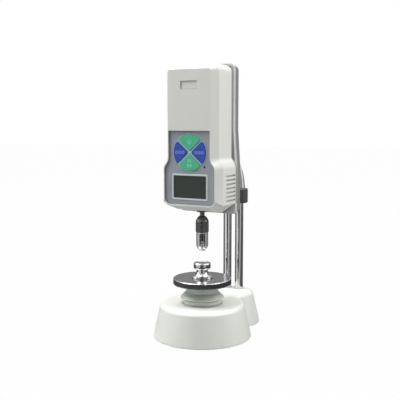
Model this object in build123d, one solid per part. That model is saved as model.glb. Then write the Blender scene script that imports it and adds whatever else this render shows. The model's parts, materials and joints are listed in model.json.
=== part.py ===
from build123d import *
from math import asin, cos, pi, radians, sin, sqrt, tan
import os

# Bench tester for the hardness of single grains, in millimetres.
# Heights are measured up from the bench. While a piece is modelled, Y = 0 is the
# working axis of screw, stage and chuck. The front looks along -Y.

# Clearances
running_gap = 0.05
slip_gap = 0.03
lid_gap = 0.15
stop_gap = 0.3

# Base housing and its cover
foot_stand = 1.0
base_height = 36.8
front_radius = 55.0
lobe_radius = 38.0
lobe_offset = 65.8
base_draft = 12.7
base_wall = 4.0
base_edge_radius = 5.5
waist_radius = 9.0
cover_thickness = 3.0
cover_inset = 1.0
cover_screw_radius = 1.5
cover_screw_length = 11.0
cover_boss_radius = 4.5
foot_radius = 6.5
foot_stem_radius = 2.0
foot_edge = 0.6
foot_angle = 50.0
rear_foot_angle = 39.0

# Screw collar on the base
collar_radius = 18.1
collar_rise = 21.2
collar_drum_radius = 21.6
collar_drum_height = 7.2
collar_lip_radius = 24.4
collar_lip_height = 0.6
collar_lip_drop = 2.6
collar_cone_height = 6.0
spigot_radius = 16.0
spigot_depth = 6.0
collar_screw_circle = 19.8
collar_screw_radius = 1.5
collar_screw_count = 3

# Handwheel, which holds the nut thread
wheel_radius = 32.5
wheel_thickness = 6.9
wheel_bevel = 0.8
wheel_knurl_count = 90
wheel_knurl_depth = 0.7
wheel_hub_radius = 15.0
wheel_rim_width = 5.0
wheel_relief = 2.2
journal_radius = 9.0
journal_length = 14.0
washer_width = 5.0
washer_thickness = 1.0
washer_seat_depth = 0.6
ring_thickness = 1.1
ring_width = 2.4
ring_groove_depth = 0.6
ring_shoulder = 1.2

# Lifting screw, its guide and the stage
screw_radius = 5.5
screw_engagement = 7.65
guide_height = 10.0
guide_radius = 13.0
key_width = 3.0
key_depth = 1.3
key_seat_depth = 3.0
lift_travel = 11.5
stage_radius = 9.6
stage_height = 17.0
stage_cap_height = 7.2
stage_dish_radius = 7.4
stage_dish_depth = 0.5
stage_stem_radius = 6.4
stage_flange_radius = 11.8
stage_flange_height = 1.0
stage_spigot_radius = 3.0
stage_spigot_length = 9.0

# Twin columns, their caps and bolts
column_radius = 5.0
column_spacing = 15.6
column_offset = 80.2
column_seat_height = 10.5
column_stud_radius = 3.0
column_boss_wall = 4.5
column_bolt_radius = 3.0
column_seat_floor = 3.0
column_bolt_length = 14.0
bolt_head_radius = 5.0
bolt_head_height = 3.0
cap_radius = 6.6
cap_shoulder_radius = 5.9
cap_shoulder_height = 10.0
cap_height = 30.0
cap_thread_depth = 15.0
stud_relief = 1.5

# Support bracket that holds the gauge on the columns
yoke_height = 17.5
yoke_wall = 5.2
yoke_bottom = 143.3
yoke_step = 3.0
yoke_chamfer = 1.2
arm_width_front = 22.0
arm_width_rear = 15.0
plate_width = 25.0
plate_height = 56.0
plate_thickness = 5.0
plate_corner_radius = 4.0
rib_thickness = 6.0
bracket_screw_radius = 2.0
bracket_head_radius = 3.6
bracket_head_height = 2.4
bracket_screw_spacing_x = 16.0
bracket_screw_rise = 7.0
bracket_screw_edge = 7.5

# Gauge housing
gauge_front = 30.4
gauge_depth = 38.8
gauge_bottom = 145.4
gauge_top = 300.3
face_bottom = 149.8
upper_half_width = 31.3
lower_half_width = 36.7
flare_top = 202.5
flare_hollow_radius = 6.0
flare_crown_radius = 14.0
housing_bevel = 5.5
bevel_depth = 8.9
housing_wall = 2.7
top_corner_radius = 8.0
face_corner_radius = 7.0
flank_bottom = 151.5
flank_run = 17.0
least_corner = 0.3
underside_slope = 10.5
grip_groove_count = 7
grip_groove_pitch = 4.43
grip_groove_first = 155.6
grip_groove_width = 1.9
grip_groove_depth = 1.4
grip_groove_front = 15.6
grip_groove_end = 1.2
label_recess_width = 20.0
label_recess_height = 9.0
label_recess_drop = 22.0
label_recess_depth = 1.0
chassis_thickness = 4.7
chassis_inset = 0.5
rear_side_depth = 5.3
rear_depth = 28.0
rear_rise = 2.4
rear_spread = 2.7
rear_spread_top = 231.0
rear_spread_bottom = 190.0
rear_corner_radius = 4.0
rear_taper_x = 7.0
rear_taper_z = 1.5
rear_wall = 2.5
housing_screw_radius = 1.5
housing_screw_x = 17.0
housing_screw_low = 152.0
housing_screw_drop = 14.3
screw_boss_radius = 3.6
screw_head_radius = 2.8
screw_head_height = 2.0
head_recess_radius = 3.0
head_recess_margin = 0.6

# Control panel, keys and display
panel_top = 230.4
panel_bottom = 151.4
panel_recess = 3.0
panel_thickness = 0.8
panel_rim = 0.7
keypad_height = 207.4
keypad_radius = 19.4
keypad_frame_width = 1.3
keypad_hub_radius = 4.0
key_split_angle = 42.0
key_gap = 2.2
key_clearance = 0.25
key_corner_radius = 2.2
key_proud = 0.9
key_flange = 0.5
key_flange_thickness = 0.8
key_stem_radius = 1.6
key_stem_reach = 0.3
key_centre_radius = 11.5
key_travel = 0.6
display_centre = 170.4
display_width = 43.6
display_height = 28.2
display_frame = 1.95
display_proud = 0.4
window_thickness = 1.2
display_module_margin = 0.3
display_module_thickness = 3.4
lamp_radius = 1.1
lamp_x = 17.7
lamp_height = 192.2
board_gap = 7.0
board_thickness = 1.6
board_edge = 1.6
board_bottom = 156.4
board_top = 229.0
board_post_radius = 2.4
board_post_inset = 3.0
board_post_low = 187.0
board_screw_radius = 1.0
board_screw_grip = 4.0
board_head_radius = 1.9
board_head_height = 1.4
switch_size = 6.4
switch_height = 3.0

# Battery, load cell and force rod
cell_count = 3
cell_radius = 7.2
cell_length = 50.0
battery_drop = 24.3
load_cell_width = 26.0
load_cell_depth = 12.0
load_cell_height = 34.0
load_cell_bottom = 153.0
load_cell_slot = 1.6
load_cell_bore_depth = 10.0
cell_bracket_thickness = 5.0
cell_bracket_leg = 14.0
rod_radius = 2.65
rod_travel = 0.5
rod_bush_radius = 6.0
rod_bush_flange_radius = 7.5
rod_bush_flange = 1.2

# Collet chuck
rod_shown = 5.3
nose_height = 6.5
sleeve_height = 14.6
sleeve_radius = 6.7
knurl_height = 11.4
knurl_radius = 7.35
knurl_count = 32
knurl_depth = 0.45
dome_height = 6.8
sleeve_window_width = 6.2
sleeve_window_depth = 3.3
nose_tip_radius = 3.5
core_radius = 4.6
collet_tip_radius = 2.9
collet_cone_radius = 4.0
collet_shank_radius = 3.0
collet_length = 19.0
collet_travel = 1.0
collet_bore_radius = 1.5
collet_land = 10.0
collet_relief_radius = 1.9
collet_slit = 0.5
collet_slit_length = 9.0
collet_reach = 1.5
collet_cone_drop = 0.5
core_rise = 5.2
window_angle = -62.0

# Heights and places that follow from the sizes above
base_top = foot_stand + base_height
cover_bottom = foot_stand + cover_inset
cover_top = cover_bottom + cover_thickness
collar_top = base_top + collar_rise
wheel_bottom = collar_top + washer_thickness - washer_seat_depth + running_gap
wheel_top = wheel_bottom + wheel_thickness
ring_top = wheel_bottom - journal_length + ring_thickness + ring_shoulder
collar_step = ring_top + stop_gap
stage_bottom = wheel_top + stop_gap
column_x = column_spacing / 2
column_seat = foot_stand + column_seat_height
yoke_top = yoke_bottom + yoke_height
yoke_radius = column_radius + yoke_wall
stud_top = yoke_top + cap_thread_depth - stud_relief
gauge_front_y = -gauge_front
bevel_end_y = gauge_front_y + bevel_depth
shell_end_y = gauge_front_y + gauge_depth
chassis_end_y = shell_end_y + chassis_thickness
rear_flat_y = chassis_end_y + rear_side_depth
gauge_back_y = chassis_end_y + rear_depth
panel_floor_y = gauge_front_y + panel_recess
panel_face_y = panel_floor_y - panel_thickness
shell_inner_y = panel_floor_y + housing_wall
housing_screw_high = gauge_top - housing_screw_drop
label_recess_centre = gauge_top - label_recess_drop
battery_bottom = gauge_top - battery_drop - cell_length
rear_flank_run = flank_run - (lower_half_width - upper_half_width - rear_spread)
board_face_y = shell_inner_y + board_gap
board_back_y = board_face_y + board_thickness
switch_front_y = board_face_y - switch_height
window_back_y = panel_face_y + window_thickness
switch_hole_depth = key_stem_reach + key_travel + stop_gap
board_width = 2 * (upper_half_width - housing_wall - board_edge)
board_post_x = board_width / 2 - board_post_inset
board_post_high = board_top - board_post_inset
cell_top = load_cell_bottom + load_cell_height
axis_underside = gauge_bottom + bevel_end_y * tan(radians(underside_slope))
dome_top = axis_underside - rod_shown
dome_bottom = dome_top - dome_height
knurl_bottom = dome_bottom - knurl_height
sleeve_bottom = knurl_bottom - sleeve_height
chuck_tip_height = sleeve_bottom - nose_height
cone_top = sleeve_bottom - collet_cone_drop
core_bottom = cone_top + core_rise
working_axis_y = -(lobe_offset + lobe_radius - front_radius) / 2
upright = (Align.CENTER, Align.CENTER, Align.MIN)


def export(name, shape):
    """Write one node, moved so that the origin is under the middle of the base."""
    placed = Pos(0, working_axis_y, 0) * shape
    export_step(placed, os.path.join("parts", name + ".step"))


def rod(radius, low, high, x=0.0, y=0.0):
    """An upright cylinder between two heights."""
    return Pos(x, y, low) * Cylinder(radius, high - low, align=upright)


def rod_y(radius, front, back, x, z):
    """A cylinder along Y between two depths."""
    return Pos(x, front, z) * Rot(-90, 0, 0) * Cylinder(radius, back - front, align=upright)


def block(x0, x1, y0, y1, z0, z1):
    """A box between six planes."""
    size = (x1 - x0, y1 - y0, z1 - z0)
    return Pos(x0, y0, z0) * Box(*size, align=(Align.MIN, Align.MIN, Align.MIN))


def turned(points):
    """A piece turned on the working axis from straight (radius, height) points."""
    outline = Polyline(*[(r, 0, z) for r, z in points], close=True)
    return revolve(make_face(outline), Axis.Z, 360)


def station(sketch, y):
    """A sketch drawn as (x, z), stood up at one depth."""
    return Plane(origin=(0, y, 0), x_dir=(1, 0, 0), z_dir=(0, -1, 0)) * sketch


def plate_y(sketch, front, back):
    """A sketch drawn as (x, z), made into a solid between two depths."""
    return extrude(station(sketch, back), back - front)


# Base

def base_form(inset, top):
    """Two drafted cones on one keyhole plan, shrunk sideways by inset, up to a height."""
    slope = tan(radians(base_draft))
    rise = top - foot_stand
    cones = []
    for radius, y, seam_turn in ((front_radius, 0.0, 90), (lobe_radius, lobe_offset, -90)):
        low = radius - inset
        cone = Cone(low, low - rise * slope, rise, align=upright)
        cones.append(Pos(0, y, foot_stand) * Rot(0, 0, seam_turn) * cone)
    return cones[0] + cones[1]


def side_edges(shape, low, high):
    return [e for e in shape.edges() if low + 1 < e.center().Z < high - 1]


def cover_screw_places():
    front_reach = front_radius - base_wall - cover_boss_radius - 2.5
    rear_reach = lobe_offset + lobe_radius - base_wall - cover_boss_radius - 2.5
    return [(0, -front_reach), (front_reach, 4), (-front_reach, 4), (0, rear_reach)]


def foot_places():
    inset = base_wall + lid_gap + foot_radius + foot_edge
    front_reach = front_radius - inset
    rear_reach = lobe_radius - inset
    front_x = front_reach * sin(radians(foot_angle))
    front_y = -front_reach * cos(radians(foot_angle))
    rear_x = rear_reach * sin(radians(rear_foot_angle))
    rear_y = lobe_offset + rear_reach * cos(radians(rear_foot_angle))
    return [(front_x, front_y), (-front_x, front_y), (rear_x, rear_y), (-rear_x, rear_y)]


def collar_screw_places():
    ring = PolarLocations(collar_screw_circle, collar_screw_count, start_angle=90)
    return [(p.position.X, p.position.Y) for p in ring]


def make_base_housing():
    body = base_form(0, base_top)
    body = fillet(side_edges(body, foot_stand, base_top), waist_radius)
    rim = [e for e in body.edges() if e.center().Z > base_top - 0.01]
    body = fillet(rim, base_edge_radius)
    ceiling = base_top - base_wall
    cavity = base_form(base_wall, ceiling)
    body = body - cavity
    for x in (-column_x, column_x):
        boss_radius = column_radius + column_boss_wall
        body += rod(boss_radius, column_seat - column_seat_floor, ceiling + 1, x, column_offset)
    for x, y in cover_screw_places():
        body += rod(cover_boss_radius, cover_top, ceiling + 1, x, y) & base_form(1, base_top)
    for x in (-column_x, column_x):
        body -= rod(column_radius + slip_gap, column_seat, base_top + 1, x, column_offset)
        body -= rod(column_bolt_radius + lid_gap, foot_stand, column_seat + 1, x, column_offset)
    for x, y in cover_screw_places():
        body -= rod(cover_screw_radius, foot_stand, cover_top + 12, x, y)
    body -= rod(spigot_radius + slip_gap, ceiling - 1, base_top + 1)
    for x, y in collar_screw_places():
        body -= rod(collar_screw_radius + lid_gap, ceiling - 1, base_top + 1, x, y)
    return body


def make_base_cover():
    cover = base_form(base_wall + lid_gap, cover_top) - rod(3 * front_radius, 0, cover_bottom)
    for x, y in foot_places():
        cover -= rod(foot_stem_radius, cover_bottom - 1, cover_top + 1, x, y)
    for x, y in cover_screw_places():
        cover -= rod(cover_screw_radius + lid_gap, cover_bottom - 1, cover_top + 1, x, y)
    return cover


def make_rubber_feet():
    feet = []
    for x, y in foot_places():
        pad = rod(foot_radius, 0, cover_bottom, x, y)
        pad = chamfer(pad.edges().group_by(Axis.Z)[0], 0.5)
        feet.append(pad + rod(foot_stem_radius, cover_bottom - 0.5, cover_top, x, y))
    return Compound(feet)


def pan_screw(shank_radius, length, head_radius, head_height):
    """A screw pointing up: head below Z = 0, shank above."""
    screw = rod(shank_radius, -0.2, length) + rod(head_radius, -head_height, 0)
    head_edge = screw.edges().group_by(Axis.Z)[0]
    screw = chamfer(head_edge, head_height * 0.3)
    return screw - block(-head_radius, head_radius, -0.4, 0.4, -head_height, -head_height * 0.5)


def make_cover_screws():
    shank = cover_screw_radius - slip_gap
    screw = pan_screw(shank, cover_screw_length, screw_head_radius, cover_inset - 0.1)
    return Compound([Pos(x, y, cover_bottom) * screw for x, y in cover_screw_places()])


def make_column_bolts():
    seat = column_seat - column_seat_floor
    bolt = rod(column_bolt_radius - slip_gap, -0.2, column_bolt_length)
    head = extrude(RegularPolygon(bolt_head_radius, 6), bolt_head_height)
    bolt += Pos(0, 0, -bolt_head_height) * head
    return Compound([Pos(x, column_offset, seat) * bolt for x in (-column_x, column_x)])


# Screw collar, guide and handwheel

def make_screw_collar():
    drum_top = base_top + collar_drum_height
    cone_top = drum_top + collar_cone_height
    body = turned([
        (0, base_top - spigot_depth),
        (spigot_radius, base_top - spigot_depth),
        (spigot_radius, base_top),
        (collar_drum_radius, base_top),
        (collar_drum_radius, drum_top - collar_lip_drop),
        (collar_lip_radius, drum_top - collar_lip_height),
        (collar_lip_radius, drum_top),
        (collar_radius, cone_top),
        (collar_radius, collar_top),
        (0, collar_top),
    ])
    top_edge = body.edges().group_by(Axis.Z)[-1]
    body = chamfer(top_edge, 0.6)
    body -= rod(journal_radius + running_gap, 0, collar_top + 1)
    body -= rod(guide_radius + slip_gap, 0, collar_step)
    washer_seat = journal_radius + washer_width + slip_gap
    body -= rod(washer_seat, collar_top - washer_seat_depth, collar_top + 1)
    for x, y in collar_screw_places():
        body -= rod(collar_screw_radius, base_top - 1, drum_top - 1, x, y)
    return body


def make_collar_screws():
    ceiling = base_top - base_wall
    shank = collar_screw_radius - slip_gap
    screw = pan_screw(shank, collar_drum_height + 1, screw_head_radius, screw_head_height)
    return Compound([Pos(x, y, ceiling) * screw for x, y in collar_screw_places()])


def make_thrust_washer():
    low = collar_top - washer_seat_depth
    washer = rod(journal_radius + washer_width, low, low + washer_thickness)
    return washer - rod(journal_radius + stop_gap, low - 1, low + washer_thickness + 1)


def make_guide_bush():
    low = base_top - spigot_depth
    bush = rod(guide_radius, low, low + guide_height)
    bush -= rod(screw_radius + running_gap, low - 1, low + guide_height + 1)
    seat = screw_radius + key_seat_depth
    half = key_width / 2 + slip_gap
    bush -= block(0, seat + slip_gap, -half, half, low - 1, low + guide_height + 1)
    return bush


def make_guide_key():
    low = base_top - spigot_depth
    inner = screw_radius - key_depth + stop_gap
    half = key_width / 2
    return block(inner, screw_radius + key_seat_depth, -half, half, low, low + guide_height)


def make_handwheel():
    disc = rod(wheel_radius, wheel_bottom, wheel_top)
    rim_edges = disc.edges().filter_by(GeomType.CIRCLE)
    disc = chamfer(rim_edges, wheel_bevel)
    groove = Rot(0, 0, 45) * Box(wheel_knurl_depth * 1.42, wheel_knurl_depth * 1.42, wheel_thickness * 4)
    grooves = [
        Rot(0, 0, i * 360 / wheel_knurl_count) * Pos(wheel_radius, 0, wheel_bottom) * groove
        for i in range(wheel_knurl_count)
    ]
    disc = disc - grooves
    relief = rod(wheel_radius - wheel_rim_width, wheel_bottom - 1, wheel_bottom + wheel_relief)
    relief -= rod(wheel_hub_radius, wheel_bottom - 2, wheel_bottom + wheel_relief + 1)
    disc -= relief
    disc += rod(journal_radius, wheel_bottom - journal_length, wheel_bottom + 1)
    groove_ring = rod(journal_radius + 1, ring_top - ring_thickness, ring_top)
    groove_ring -= rod(journal_radius - ring_groove_depth, ring_top - 3, ring_top + 1)
    disc -= groove_ring
    return disc - rod(screw_radius + running_gap, wheel_bottom - journal_length - 1, wheel_top + 1)


def make_retaining_ring():
    low = ring_top - ring_thickness
    ring = rod(journal_radius - ring_groove_depth + ring_width, low, ring_top)
    ring -= rod(journal_radius - ring_groove_depth, low - 1, ring_top + 1)
    return ring - block(0, 2 * journal_radius, -1.5, 1.5, low - 1, ring_top + 1)


# Lifting screw and stage

def make_lift_screw():
    key_top = base_top - spigot_depth + guide_height
    low = key_top - screw_engagement - lift_travel
    body = rod(screw_radius, low, stage_bottom)
    body = chamfer(body.edges().group_by(Axis.Z)[0], 0.8)
    half = key_width / 2 + running_gap
    body -= block(screw_radius - key_depth, 20, -half, half, low - 1, key_top + stop_gap)
    bore = stage_spigot_radius + slip_gap
    return body - rod(bore, stage_bottom - stage_spigot_length - 1, stage_bottom + 1)


def make_stage():
    top = stage_bottom + stage_height
    cap_low = top - stage_cap_height
    neck = stage_bottom + stage_height * 0.46
    with BuildPart() as stage:
        with BuildSketch(Plane.XZ):
            with BuildLine():
                Polyline(
                    (0, stage_bottom - stage_spigot_length),
                    (stage_spigot_radius, stage_bottom - stage_spigot_length),
                    (stage_spigot_radius, stage_bottom),
                    (stage_flange_radius, stage_bottom),
                    (stage_flange_radius, stage_bottom + stage_flange_height),
                )
                Spline(
                    (stage_flange_radius, stage_bottom + stage_flange_height),
                    (stage_stem_radius, neck),
                    tangents=((-1, 0.25), (0, 1)),
                )
                Line((stage_stem_radius, neck), (stage_stem_radius, cap_low - 0.6))
                ThreePointArc(
                    (stage_stem_radius, cap_low - 0.6),
                    (stage_radius - 0.7, cap_low + 0.5),
                    (stage_radius, cap_low + 2.2),
                )
                Line((stage_radius, cap_low + 2.2), (stage_radius, top - 1.8))
                ThreePointArc(
                    (stage_radius, top - 1.8),
                    (stage_radius - 0.45, top - 0.55),
                    (stage_radius - 1.6, top),
                )
                Polyline(
                    (stage_radius - 1.6, top),
                    (stage_dish_radius, top),
                    (stage_dish_radius - stage_dish_depth, top - stage_dish_depth),
                    (0, top - stage_dish_depth),
                    (0, stage_bottom - stage_spigot_length),
                )
            make_face()
        revolve(axis=Axis.Z)
    return stage.part


# Columns and support bracket

def make_column(x):
    step = yoke_top - yoke_step
    column = rod(column_radius, column_seat, step, x, column_offset)
    column += rod(column_stud_radius, step - 1, stud_top, x, column_offset)
    depth = column_seat + column_bolt_length - 2
    return column - rod(column_bolt_radius, column_seat - 1, depth, x, column_offset)


def make_column_cap(x):
    base = yoke_top
    shoulder = base + cap_shoulder_height
    tip = base + cap_height
    with BuildPart() as cap:
        with BuildSketch(Plane.XZ):
            with BuildLine():
                Polyline(
                    (0, base + cap_thread_depth),
                    (column_stud_radius + slip_gap, base + cap_thread_depth),
                    (column_stud_radius + slip_gap, base),
                    (cap_radius - 0.4, base),
                    (cap_radius, base + 0.4),
                    (cap_shoulder_radius, shoulder),
                )
                ThreePointArc(
                    (cap_shoulder_radius, shoulder),
                    (cap_shoulder_radius * 0.66, shoulder + (tip - shoulder) * 0.48),
                    (0.5, tip - 0.3),
                )
                Polyline((0.5, tip - 0.3), (0, tip), (0, base + cap_thread_depth))
            make_face()
        revolve(axis=Axis.Z)
    return Pos(x, column_offset, 0) * cap.part


def bracket_screw_places():
    x = bracket_screw_spacing_x / 2
    low = yoke_top + bracket_screw_rise
    high = yoke_bottom + plate_height - bracket_screw_edge
    return [(sx * x, z) for sx in (-1, 1) for z in (low, high)]


def make_support_bracket():
    yoke = extrude(SlotCenterToCenter(column_spacing, yoke_radius * 2), yoke_height)
    yoke = Pos(0, column_offset, yoke_bottom) * yoke
    yoke = chamfer(yoke.edges().group_by(Axis.Z)[0] + yoke.edges().group_by(Axis.Z)[-1], yoke_chamfer)
    plate_outline = RectangleRounded(plate_width, plate_height, plate_corner_radius)
    plate_outline = Pos(0, yoke_bottom + plate_height / 2) * plate_outline
    plate_end = gauge_back_y + plate_thickness
    plate = plate_y(plate_outline, gauge_back_y, plate_end)
    arm_outline = Polyline(
        (-arm_width_front / 2, plate_end - 1),
        (arm_width_front / 2, plate_end - 1),
        (arm_width_rear / 2, column_offset - yoke_radius + 1),
        (-arm_width_rear / 2, column_offset - yoke_radius + 1),
        close=True,
    )
    arm = Pos(0, 0, yoke_bottom) * extrude(make_face(arm_outline), yoke_height)
    rib_outline = Polyline(
        (0, plate_end - 1, yoke_top - 1),
        (0, column_offset - yoke_radius + 1, yoke_top - 1),
        (0, column_offset - yoke_radius + 1, yoke_top),
        (0, plate_end, yoke_bottom + plate_height - 4),
        (0, plate_end - 1, yoke_bottom + plate_height - 4),
        close=True,
    )
    rib = extrude(make_face(rib_outline), rib_thickness / 2, both=True)
    body = yoke + plate + arm + rib
    for x in (-column_x, column_x):
        body -= rod(column_radius + slip_gap, yoke_bottom - 1, yoke_top - yoke_step, x, column_offset)
        body -= rod(column_stud_radius + slip_gap, yoke_bottom, yoke_top + 1, x, column_offset)
    for x, z in bracket_screw_places():
        body -= rod_y(bracket_screw_radius + lid_gap, gauge_back_y - 1, plate_end + 1, x, z)
    return body


def make_bracket_screws():
    length = plate_thickness + rear_depth + 3
    screw = pan_screw(bracket_screw_radius - slip_gap, length, bracket_head_radius, bracket_head_height)
    screw = Rot(90, 0, 0) * screw
    end = gauge_back_y + plate_thickness
    return Compound([Pos(x, end, z) * screw for x, z in bracket_screw_places()])


# Gauge housing

def underside(y):
    """Height of the gauge's sloping underside at a depth, with the front bevel's inset left out."""
    behind = y - bevel_end_y
    if behind < 0:
        return gauge_bottom + behind / bevel_depth * (gauge_bottom + housing_bevel - face_bottom)
    return gauge_bottom - behind * tan(radians(underside_slope))


def on_circle(centre, radius, angle):
    return (centre[0] + radius * cos(radians(angle)), centre[1] + radius * sin(radians(angle)))


def arc(centre, radius, start, end):
    """An arc between two angles, as an edge."""
    middle = (start + end) / 2
    angles = (start, middle, end)
    return ThreePointArc(*[on_circle(centre, radius, a) for a in angles])


def gauge_outline(inset, bottom, corner_radius=0.0):
    """The flared gauge seen from the front, as an (x, z) face shrunk evenly by inset.

    The lower corners are slanted flanks, or arcs where a radius is given.
    """
    centres = flare_hollow_radius + flare_crown_radius
    spread = lower_half_width - upper_half_width
    swing = asin(sqrt(1 - (1 - spread / centres) ** 2)) * 180 / pi
    hollow_centre = (upper_half_width + flare_hollow_radius, flare_top)
    crown_z = flare_top - centres * sin(radians(swing))
    crown_centre = (lower_half_width - flare_crown_radius, crown_z)
    upper = upper_half_width - inset
    lower = lower_half_width - inset
    top = gauge_top - inset
    low = bottom + inset
    top_r = max(top_corner_radius - inset, least_corner)
    top_centre = (upper - top_r, top - top_r)
    if corner_radius:
        side_end = low + corner_radius
        floor_end = lower - corner_radius
        corner = arc((floor_end, side_end), corner_radius, 0, -90)
    else:
        side_end = flank_bottom + inset
        floor_end = lower - flank_run
        corner = Line((lower, side_end), (floor_end, low))
    right = [
        Line((0, top), (top_centre[0], top)),
        arc(top_centre, top_r, 90, 0),
        Line((upper, top_centre[1]), (upper, flare_top)),
        arc(hollow_centre, flare_hollow_radius + inset, 180, 180 + swing),
        arc(crown_centre, flare_crown_radius - inset, swing, 0),
        Line((lower, crown_z), (lower, side_end)),
        corner,
        Line((floor_end, low), (0, low)),
    ]
    left = [mirror(edge, Plane.YZ) for edge in right]
    return make_face(right + left)


def rear_outline(inset_x, inset_z, bottom):
    """The rear cover seen from the back, wider below and with slanted flanks, as an (x, z) face."""
    low = bottom + inset_z
    high = gauge_top + rear_rise - inset_z
    upper = upper_half_width - inset_x
    lower = upper + rear_spread
    right = [
        (upper, high),
        (upper, rear_spread_top),
        (lower, rear_spread_bottom),
        (lower, flank_bottom + inset_z),
        (lower - rear_flank_run, low),
    ]
    left = [(-x, z) for x, z in reversed(right)]
    shape = make_face(Polyline(*(right + left), close=True))
    corners = shape.vertices().group_by(Axis.Y)
    return fillet(corners[0] + corners[-1], rear_corner_radius)


def housing_screw_places():
    heights = (housing_screw_low, housing_screw_high)
    return [(sx * housing_screw_x, z) for sx in (-1, 1) for z in heights]


def board_post_places():
    return [(sx * board_post_x, z) for sx in (-1, 1) for z in (board_post_low, board_post_high)]


def panel_outline(gap):
    """The recess of the control panel, or with a gap the panel that lies in it."""
    inset = housing_bevel + panel_rim + gap
    face = gauge_outline(inset, panel_bottom + gap - inset, face_corner_radius - panel_rim - gap)
    above = Rectangle(4 * lower_half_width, gauge_top, align=(Align.CENTER, Align.MIN))
    return face - Pos(0, panel_top - gap) * above


def display_outline(gap):
    shape = RectangleRounded(display_width + 2 * gap, display_height + 2 * gap, 1.5 + gap)
    return Pos(0, display_centre) * shape


def window_outline(gap):
    width = display_width - 2 * display_frame + 2 * gap
    height = display_height - 2 * display_frame + 2 * gap
    return Pos(0, display_centre) * RectangleRounded(width, height, 0.8 + gap)


def make_gauge_front_shell():
    body = loft([
        station(gauge_outline(housing_bevel, underside(gauge_front_y), face_corner_radius), gauge_front_y),
        station(gauge_outline(0, underside(bevel_end_y)), bevel_end_y),
        station(gauge_outline(0, underside(shell_end_y)), shell_end_y),
    ], ruled=True)
    slant = housing_wall * sqrt(1 + (housing_bevel / bevel_depth) ** 2)
    depth_share = (shell_inner_y - gauge_front_y) / bevel_depth
    inner_bevel = housing_bevel * (1 - depth_share) + slant
    inner_bevel_y = bevel_end_y + bevel_depth * (slant - housing_wall) / housing_bevel
    wall_end_y = shell_end_y + 1
    body -= loft([
        station(gauge_outline(inner_bevel, underside(shell_inner_y)), shell_inner_y),
        station(gauge_outline(housing_wall, underside(inner_bevel_y)), inner_bevel_y),
        station(gauge_outline(housing_wall, underside(wall_end_y)), wall_end_y),
    ], ruled=True)
    for x, z in housing_screw_places():
        body += rod_y(screw_boss_radius, shell_inner_y - 1, shell_end_y, x, z)
        body -= rod_y(housing_screw_radius, -6, shell_end_y + 1, x, z)
    for x, z in board_post_places():
        body += rod_y(board_post_radius, shell_inner_y - 1, board_face_y, x, z)
        body -= rod_y(board_screw_radius, board_face_y - board_screw_grip - 1, board_face_y + 1, x, z)
    body -= plate_y(panel_outline(0), gauge_front_y - 1, panel_floor_y)
    body -= plate_y(keypad_outline(lid_gap), gauge_front_y, shell_inner_y + 1)
    body -= plate_y(display_outline(lid_gap), gauge_front_y, shell_inner_y + 1)
    body -= rod_y(lamp_radius + lid_gap, gauge_front_y, shell_inner_y + 1, lamp_x, lamp_height)
    label = Pos(0, label_recess_centre) * RectangleRounded(label_recess_width, label_recess_height, 0.8)
    body -= plate_y(label, gauge_front_y - 1, gauge_front_y + label_recess_depth)
    body -= rod(rod_bush_radius + lid_gap, underside(0) - 5, underside(0) + 5)
    return body - make_grip_grooves()


def make_grip_grooves():
    """Round-ended grooves across both cheeks of the wide lower part."""
    front = gauge_front_y + grip_groove_front
    back = shell_end_y - grip_groove_end
    outline = SlotOverall(back - front, grip_groove_width)
    cutter = extrude(Plane.YZ * outline, grip_groove_depth + 2)
    grooves = []
    for i in range(grip_groove_count):
        z = grip_groove_first + i * grip_groove_pitch
        one = Pos(lower_half_width - grip_groove_depth, (front + back) / 2, z) * cutter
        grooves += [one, mirror(one, Plane.YZ)]
    return grooves


def make_chassis():
    body = loft([
        station(gauge_outline(chassis_inset, underside(shell_end_y)), shell_end_y),
        station(gauge_outline(chassis_inset, underside(chassis_end_y)), chassis_end_y),
    ], ruled=True)
    for x, z in housing_screw_places():
        body -= rod_y(housing_screw_radius + lid_gap, shell_end_y - 1, chassis_end_y + 1, x, z)
    for x, z in bracket_screw_places():
        body -= rod_y(bracket_screw_radius, shell_end_y - 1, chassis_end_y + 1, x, z)
    for x in cell_screw_places():
        z = cell_top + cell_bracket_thickness + cell_bracket_leg / 2
        body -= rod_y(housing_screw_radius, shell_end_y - 1, chassis_end_y + 1, x, z)
    return body


def make_gauge_rear_shell():
    body = loft([
        station(rear_outline(0, 0, underside(chassis_end_y)), chassis_end_y),
        station(rear_outline(0, 0, underside(rear_flat_y)), rear_flat_y),
        station(rear_outline(rear_taper_x, rear_taper_z, underside(rear_flat_y)), gauge_back_y),
    ], ruled=True)
    wall = rear_wall
    body -= loft([
        station(rear_outline(wall, wall, underside(chassis_end_y)), chassis_end_y - 1),
        station(rear_outline(wall, wall, underside(rear_flat_y)), rear_flat_y),
        station(
            rear_outline(rear_taper_x + wall * 0.8, rear_taper_z + wall * 0.8, underside(rear_flat_y)),
            gauge_back_y - wall,
        ),
    ], ruled=True)
    seat = gauge_back_y - screw_head_height - head_recess_margin
    for x, z in housing_screw_places() + bracket_screw_places():
        body += rod_y(screw_boss_radius + head_recess_margin, chassis_end_y, gauge_back_y - 1, x, z)
    for x, z in housing_screw_places():
        body -= rod_y(housing_screw_radius + lid_gap, chassis_end_y - 1, gauge_back_y + 1, x, z)
        body -= rod_y(head_recess_radius, seat, gauge_back_y + 1, x, z)
    for x, z in bracket_screw_places():
        body -= rod_y(bracket_screw_radius + lid_gap, chassis_end_y - 1, gauge_back_y + 1, x, z)
    return body


def make_housing_screws():
    seat = gauge_back_y - screw_head_height - head_recess_margin
    screw = pan_screw(housing_screw_radius - slip_gap, seat + 3, screw_head_radius, screw_head_height)
    screw = Rot(90, 0, 0) * screw
    return Compound([Pos(x, seat, z) * screw for x, z in housing_screw_places()])


# Panel, keys, display and board

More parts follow.
